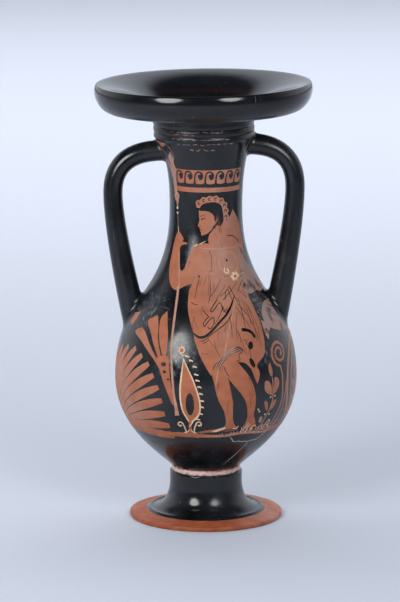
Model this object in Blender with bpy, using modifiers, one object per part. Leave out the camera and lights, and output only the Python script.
# A pelike: a wheel-thrown clay jar with a wide heavy lip, a tall narrow neck, two loop handles
# and a spreading foot that is hollow underneath. It is one fired piece, open at the mouth.
# Metres, +Z up. The vessel turns about the Z axis and stands on the plane z = 0.
# The painted side faces -Y, and the handles spread along X.

import math

import bmesh
import bpy
from mathutils import Matrix, Vector

OBJECT_NAME = "pelike"

# Heights. The slope of the shoulder takes up what the others leave of the whole.
HEIGHT = 0.3200            # from the ground to the crest of the lip
FOOT_HEIGHT = 0.0342
JOINT_HEIGHT = 0.0038
BELLY_RISE = 0.0667        # from the joint to the widest part of the belly
NECK_RISE = 0.0510         # from the waist of the neck to the collar
COLLAR_HEIGHT = 0.0145
LIP_LIFT = 0.0054          # from the collar to the lowest part of the lip
LIP_HEIGHT = 0.0201

# Outer radii
FOOT_RADIUS = 0.0558
FOOT_STEP_RADIUS = 0.0434  # the step round the root of the spreading foot
STEM_RADIUS = 0.0265
JOINT_RADIUS = 0.0250
BELLY_RADIUS = 0.0664
NECK_RADIUS = 0.0264
COLLAR_RADIUS = 0.0366
LIP_RADIUS = 0.0789
LIP_EDGE_RADIUS = 0.0662   # the underside's outer edge
LIP_CREST_INSET = 0.0016   # how far the crest of the lip lies inside its widest circle
LIP_CREST_RISE = 0.0050    # from the widest circle of the lip up to its crest
LIP_UNDERCUT = 0.0050      # how far the lip's underside is hollowed

# Clay thickness
WALL = 0.0043
FLOOR = 0.0058
FOOT_WALL = 0.0050
FOOT_EDGE_HEIGHT = 0.0033
RESTING_RING = 0.0090      # width of the flat ring that the foot stands on

# Foot details
FOOT_STEP_HEIGHT = 0.0062
FOOT_STEP_DROP = 0.0009
FOOT_EDGE_ROUND = 0.0009
STEM_STRAIGHT = 0.0082     # length of the straight upper part of the stem

# Collar details
COLLAR_STEP = 0.0013
COLLAR_GROOVE = 0.0006
COLLAR_GROOVES = 2

# Fullness of the swelling curves, as shares of the height or reach that each one spans
LIP_SIDE_FULLNESS = 0.36
LIP_EDGE_FULLNESS = 0.33
LIP_CREST_FULLNESS = 0.70
NECK_FLARE = 0.75
NECK_FLARE_DROP = 0.26
NECK_SWEEP = 0.49
LOWER_BELLY_FULLNESS = 0.546
UPPER_BELLY_FULLNESS = 0.491
SHOULDER_SWEEP = 0.549
FOOT_FLARE = 0.50
FOOT_SPREAD = 0.30
BELLY_ROOT_LENGTH = 0.0168
BELLY_ROOT_ANGLE = math.radians(46)
THROAT_DEPTH = 0.0300      # from the crest down to where the neck's bore begins
TRUMPET_SLOPE = math.radians(9)
TRUMPET_REACH = 0.0280

# Handles. The lengths of their curves are shares of the reach, the drop and the fall.
HANDLE_ROOT_SWEEP = 0.68
HANDLE_BEND_SWEEP = 0.68
HANDLE_FALL_SWEEP = 0.22
HANDLE_FOOT_SWEEP = 0.32
HANDLE_FOOT_SLANT = 0.20
HANDLE_ARCH = 0.0010       # how far the curve climbs as it leaves the neck
HANDLE_THICKNESS = 0.0141
HANDLE_ROOT_THICKNESS = 0.0154
HANDLE_FOOT_THICKNESS = 0.0180
HANDLE_BREADTH = 1.10      # how much wider the handle is than it is thick
HANDLE_FOOT_RISE = 0.0240  # the lower end, above the widest part of the belly
HANDLE_BEND_DROP = 0.0310  # from the upper end down to where the handle stands furthest out
HANDLE_BITE = 0.0050       # how deep the upper end runs into the neck
LEFT_SINK = 0.0068         # how deep the lower end's outer side lies under the shoulder
RIGHT_SINK = 0.0078
LEFT_SPREAD = 0.0410       # from the neck's side to the middle of the handle
RIGHT_SPREAD = 0.0382
LEFT_DROP = 0.0094         # from the collar down to the middle of the handle's upper end
RIGHT_DROP = 0.0049

# The hand-made lean of the mouth, which grows from the upper neck to the lip
LEAN = -0.0018
TILT = math.radians(0.8)
LEAN_START = 0.0260        # above the waist of the neck

# Mesh fineness
STEPS = 40
CURVE_PIECES = 8
CUTTER_CLEARANCE = 0.0060

JOINT_TOP = FOOT_HEIGHT + JOINT_HEIGHT
BELLY_Z = JOINT_TOP + BELLY_RISE
LIP_Z = HEIGHT - LIP_HEIGHT
COLLAR_TOP = LIP_Z - LIP_LIFT
COLLAR_Z = COLLAR_TOP - COLLAR_HEIGHT
WAIST_Z = COLLAR_Z - NECK_RISE
SHOULDER_RISE = WAIST_Z - BELLY_Z
CREST_RADIUS = LIP_RADIUS - LIP_CREST_INSET


def clearScene():
    for old in list(bpy.data.objects):
        bpy.data.objects.remove(old, do_unlink=True)


def makeCollection(name):
    collection = bpy.data.collections.new(name)
    bpy.context.scene.collection.children.link(collection)
    return collection


def bezier(start, leaving, arriving, end, pieces=CURVE_PIECES):
    """The points of a cubic curve after its first, as (radius, height) pairs."""
    points = []
    for i in range(1, pieces + 1):
        t = i / pieces
        s = 1 - t
        weights = (s ** 3, 3 * s * s * t, 3 * s * t * t, t ** 3)
        corners = (start, leaving, arriving, end)
        radius = sum(w * c[0] for w, c in zip(weights, corners))
        height = sum(w * c[1] for w, c in zip(weights, corners))
        points.append((radius, height))
    return points


def lipOutline():
    """From the crest over the round edge and back under the lip to the collar."""
    widestZ = HEIGHT - LIP_CREST_RISE
    widest = (LIP_RADIUS, widestZ)
    crest = (CREST_RADIUS, HEIGHT)
    edge = (LIP_EDGE_RADIUS, LIP_Z)
    collar = (COLLAR_RADIUS, COLLAR_TOP)
    ceiling = LIP_Z + LIP_UNDERCUT
    points = [crest]
    points += bezier(crest, (CREST_RADIUS + LIP_CREST_INSET * LIP_CREST_FULLNESS, HEIGHT),
                     (LIP_RADIUS, widestZ + LIP_CREST_INSET), widest, 3)
    points += bezier(widest, (LIP_RADIUS, widestZ - LIP_HEIGHT * LIP_SIDE_FULLNESS),
                     (LIP_EDGE_RADIUS + LIP_HEIGHT * LIP_EDGE_FULLNESS, LIP_Z), edge, 6)
    points += bezier(edge, (LIP_EDGE_RADIUS - 2 * LIP_UNDERCUT, ceiling),
                     (COLLAR_RADIUS, ceiling), collar, 5)
    return points


def collarOutline():
    """The grooved collar and the small step under it."""
    points = []
    pitch = COLLAR_HEIGHT / (COLLAR_GROOVES + 1)
    for i in range(1, COLLAR_GROOVES + 1):
        middle = COLLAR_TOP - pitch * i
        points.append((COLLAR_RADIUS, middle + COLLAR_GROOVE * 2))
        points.append((COLLAR_RADIUS - COLLAR_GROOVE, middle))
        points.append((COLLAR_RADIUS, middle - COLLAR_GROOVE * 2))
    points.append((COLLAR_RADIUS, COLLAR_Z + COLLAR_STEP))
    points.append((COLLAR_RADIUS - COLLAR_STEP, COLLAR_Z))
    return points


def bodyOutline():
    """The neck, the shoulder and the belly, down to the joint with the foot."""
    top = (COLLAR_RADIUS - COLLAR_STEP, COLLAR_Z)
    waist = (NECK_RADIUS, WAIST_Z)
    widest = (BELLY_RADIUS, BELLY_Z)
    root = (JOINT_RADIUS, JOINT_TOP)
    flare = top[0] - NECK_RADIUS
    points = bezier(top, (top[0] - flare * NECK_FLARE, COLLAR_Z - NECK_RISE * NECK_FLARE_DROP),
                    (NECK_RADIUS, WAIST_Z + NECK_RISE * NECK_SWEEP), waist, 6)
    points += bezier(waist, (NECK_RADIUS, WAIST_Z - SHOULDER_RISE * SHOULDER_SWEEP),
                     (BELLY_RADIUS, BELLY_Z + SHOULDER_RISE * UPPER_BELLY_FULLNESS), widest, 11)
    rootHandle = (JOINT_RADIUS + BELLY_ROOT_LENGTH * math.sin(BELLY_ROOT_ANGLE),
                  JOINT_TOP + BELLY_ROOT_LENGTH * math.cos(BELLY_ROOT_ANGLE))
    points += bezier(widest, (BELLY_RADIUS, BELLY_Z - BELLY_RISE * LOWER_BELLY_FULLNESS),
                     rootHandle, root, 8)
    return points


def footOutline():
    """The joint, the stem, the spreading foot and its hollow, ending on the axis."""
    stemTop = (STEM_RADIUS, FOOT_HEIGHT - JOINT_HEIGHT / 4)
    stemEnd = (STEM_RADIUS, FOOT_HEIGHT - STEM_STRAIGHT)
    step = (FOOT_STEP_RADIUS, FOOT_STEP_HEIGHT)
    spread = FOOT_STEP_RADIUS - STEM_RADIUS
    points = [(JOINT_RADIUS, FOOT_HEIGHT), stemTop, stemEnd]
    points += bezier(stemEnd, (STEM_RADIUS, FOOT_STEP_HEIGHT + spread * FOOT_FLARE),
                     (STEM_RADIUS + spread * FOOT_SPREAD, FOOT_STEP_HEIGHT + FOOT_STEP_DROP), step, 6)
    points.append((FOOT_STEP_RADIUS + FOOT_STEP_DROP / 2, FOOT_STEP_HEIGHT - FOOT_STEP_DROP))
    points.append((FOOT_RADIUS - FOOT_EDGE_ROUND, FOOT_EDGE_HEIGHT))
    points.append((FOOT_RADIUS, FOOT_EDGE_HEIGHT - FOOT_EDGE_ROUND))
    points.append((FOOT_RADIUS, FOOT_EDGE_ROUND))
    points.append((FOOT_RADIUS - FOOT_EDGE_ROUND, 0))
    ringEnd = (FOOT_RADIUS - FOOT_EDGE_ROUND - RESTING_RING, 0)
    hollowRadius = STEM_RADIUS - FOOT_WALL
    hollowTop = JOINT_TOP + WALL - FLOOR - JOINT_HEIGHT / 3
    shoulder = (hollowRadius, hollowTop - FOOT_WALL)
    points.append(ringEnd)
    points += bezier(ringEnd, (FOOT_STEP_RADIUS - FOOT_WALL, FOOT_EDGE_HEIGHT / 3),
                     (hollowRadius, FOOT_STEP_HEIGHT / 2), (hollowRadius, FOOT_HEIGHT / 2), 5)
    points.append(shoulder)
    points.append((hollowRadius - FOOT_WALL, hollowTop))
    points.append((0, hollowTop))
    return points


def inset(points, thickness):
    """The same line, moved into the clay by its thickness."""
    moved = []
    for before, here, after in zip(points, points[1:], points[2:]):
        run = Vector((after[0] - before[0], after[1] - before[1])).normalized()
        moved.append((here[0] + run.y * thickness, here[1] - run.x * thickness))
    return moved


def cavityOutline():
    """The space inside, from above the lip down to the floor, ending on the axis."""
    above = HEIGHT + CUTTER_CLEARANCE
    beyond = LIP_RADIUS + CUTTER_CLEARANCE
    crest = (CREST_RADIUS, HEIGHT)
    rise = (beyond - CREST_RADIUS) * math.tan(TRUMPET_SLOPE)
    throat = (COLLAR_RADIUS - WALL, HEIGHT - THROAT_DEPTH)
    points = [(0, above), (beyond, above), (beyond, HEIGHT + rise), crest]
    leaving = (CREST_RADIUS - TRUMPET_REACH, HEIGHT - TRUMPET_REACH * math.tan(TRUMPET_SLOPE))
    arriving = (throat[0], throat[1] + THROAT_DEPTH / 2)
    points += bezier(crest, leaving, arriving, throat, 9)
    wall = [(COLLAR_RADIUS, COLLAR_Z + COLLAR_STEP)] + bodyOutline()
    floor = JOINT_TOP + WALL
    points += [p for p in inset(wall, WALL) if p[1] > floor + WALL / 4]
    points.append((points[-1][0] - WALL / 2, floor))
    points.append((0, floor))
    return points


def radiusAt(points, height):
    """The outline's radius at a height."""
    for upper, lower in zip(points, points[1:]):
        if lower[1] <= height <= upper[1] and upper[1] > lower[1]:
            share = (upper[1] - height) / (upper[1] - lower[1])
            return upper[0] + (lower[0] - upper[0]) * share
    return points[-1][0]


def turned(name, points, collection):
    """A closed solid of revolution from an outline that starts and ends on the axis."""
    mesh = bpy.data.meshes.new(name)
    vertices = [(r, 0, z) for r, z in points]
    edges = [(i, i + 1) for i in range(len(points) - 1)]
    mesh.from_pydata(vertices, edges, [])
    solid = bpy.data.objects.new(name, mesh)
    collection.objects.link(solid)
    screw = solid.modifiers.new("turn", "SCREW")
    screw.axis = "Z"
    screw.angle = math.tau
    screw.steps = STEPS
    screw.render_steps = STEPS
    screw.use_merge_vertices = True
    screw.merge_threshold = 0.00001
    return solid


def evaluatedMesh(thing):
    depsgraph = bpy.context.evaluated_depsgraph_get()
    depsgraph.update()
    return bpy.data.meshes.new_from_object(thing.evaluated_get(depsgraph))


def hideCutter(cutter):
    cutter.hide_render = True
    cutter.display_type = "WIRE"


def makeHandle(name, side, spread, drop, sink, outline, collection):
    """A round bar from the neck, out and down to the shoulder, with its ends in the clay."""
    rootZ = COLLAR_Z - drop
    root = Vector((side * (radiusAt(outline, rootZ) - HANDLE_BITE), 0, rootZ))
    bend = Vector((side * (NECK_RADIUS + spread), 0, rootZ - HANDLE_BEND_DROP))
    footZ = BELLY_Z + HANDLE_FOOT_RISE
    footX = radiusAt(outline, footZ) - HANDLE_FOOT_THICKNESS / 2 - sink
    foot = Vector((side * footX, 0, footZ))
    reach = abs(bend.x - root.x)
    fall = bend.z - foot.z
    line = bpy.data.curves.new(name, "CURVE")
    line.dimensions = "3D"
    line.bevel_depth = HANDLE_THICKNESS / 2
    line.bevel_resolution = 4
    line.resolution_u = CURVE_PIECES
    line.use_fill_caps = True
    spline = line.splines.new("BEZIER")
    spline.bezier_points.add(2)
    outward = Vector((side * reach * HANDLE_ROOT_SWEEP, 0, HANDLE_ARCH))
    downward = Vector((0, 0, -fall * HANDLE_FALL_SWEEP))
    inward = Vector((-side * reach * HANDLE_FOOT_SLANT, 0, -fall * HANDLE_FOOT_SWEEP))
    stations = (
        (root, outward, HANDLE_ROOT_THICKNESS),
        (bend, downward, HANDLE_THICKNESS),
        (foot, inward, HANDLE_FOOT_THICKNESS),
    )
    for point, (place, leaving, thickness) in zip(spline.bezier_points, stations):
        point.handle_left_type = "FREE"
        point.handle_right_type = "FREE"
        point.co = place
        point.handle_left = place - leaving
        point.handle_right = place + leaving
        point.radius = thickness / HANDLE_THICKNESS
    upward = Vector((0, 0, HANDLE_BEND_DROP * HANDLE_BEND_SWEEP))
    spline.bezier_points[1].handle_left = bend + upward
    guide = bpy.data.objects.new(name + "_line", line)
    collection.objects.link(guide)
    mesh = evaluatedMesh(guide)
    work = bmesh.new()
    work.from_mesh(mesh)
    bmesh.ops.remove_doubles(work, verts=work.verts, dist=0.00001)
    bmesh.ops.transform(work, matrix=Matrix.Scale(HANDLE_BREADTH, 4, (0, 1, 0)), verts=work.verts)
    work.to_mesh(mesh)
    work.free()
    handle = bpy.data.objects.new(name, mesh)
    handle.matrix_world = guide.matrix_world
    collection.objects.link(handle)
    bpy.data.objects.remove(guide, do_unlink=True)
    hideCutter(handle)
    return handle


def combine(body, other, operation):
    step = body.modifiers.new(operation.lower(), "BOOLEAN")
    step.operation = operation
    step.solver = "EXACT"
    step.object = other


def leanMouth(mesh):
    """Shifts and tilts what lies above the upper neck, more the higher it is."""
    start = WAIST_Z + LEAN_START
    for vertex in mesh.vertices:
        share = min(max((vertex.co.z - start) / (LIP_Z - start), 0), 1)
        ease = share * share * (3 - 2 * share)
        along = vertex.co.x
        vertex.co.x += LEAN * ease
        vertex.co.z += math.tan(TILT) * along * ease


def clayMaterial():
    material = bpy.data.materials.new("black_gloss_clay")
    material.use_nodes = True
    shader = material.node_tree.nodes["Principled BSDF"]
    shader.inputs["Base Color"].default_value = (0.014, 0.015, 0.018, 1)
    shader.inputs["Roughness"].default_value = 0.28
    shader.inputs["Metallic"].default_value = 0
    material.diffuse_color = (0.05, 0.05, 0.06, 1)
    return material


def makePelike():
    parts = makeCollection(OBJECT_NAME)
    cutters = makeCollection("cutters")
    outline = [(0, HEIGHT)] + lipOutline() + collarOutline() + bodyOutline() + footOutline()
    vessel = turned(OBJECT_NAME + "_solid", outline, cutters)
    wallLine = collarOutline() + bodyOutline()
    left = makeHandle("left_handle", -1, LEFT_SPREAD, LEFT_DROP, LEFT_SINK, wallLine, cutters)
    right = makeHandle("right_handle", 1, RIGHT_SPREAD, RIGHT_DROP, RIGHT_SINK, wallLine, cutters)
    cavity = turned("cavity", cavityOutline(), cutters)
    combine(vessel, left, "UNION")
    combine(vessel, right, "UNION")
    combine(vessel, cavity, "DIFFERENCE")
    mesh = evaluatedMesh(vessel)
    leanMouth(mesh)
    mesh.name = OBJECT_NAME
    mesh.materials.clear()
    mesh.materials.append(clayMaterial())
    mesh.shade_smooth()
    mesh.set_sharp_from_angle(angle=math.radians(35))
    pelike = bpy.data.objects.new(OBJECT_NAME, mesh)
    parts.objects.link(pelike)
    hideCutter(vessel)
    hideCutter(cavity)
    return pelike


clearScene()
makePelike()
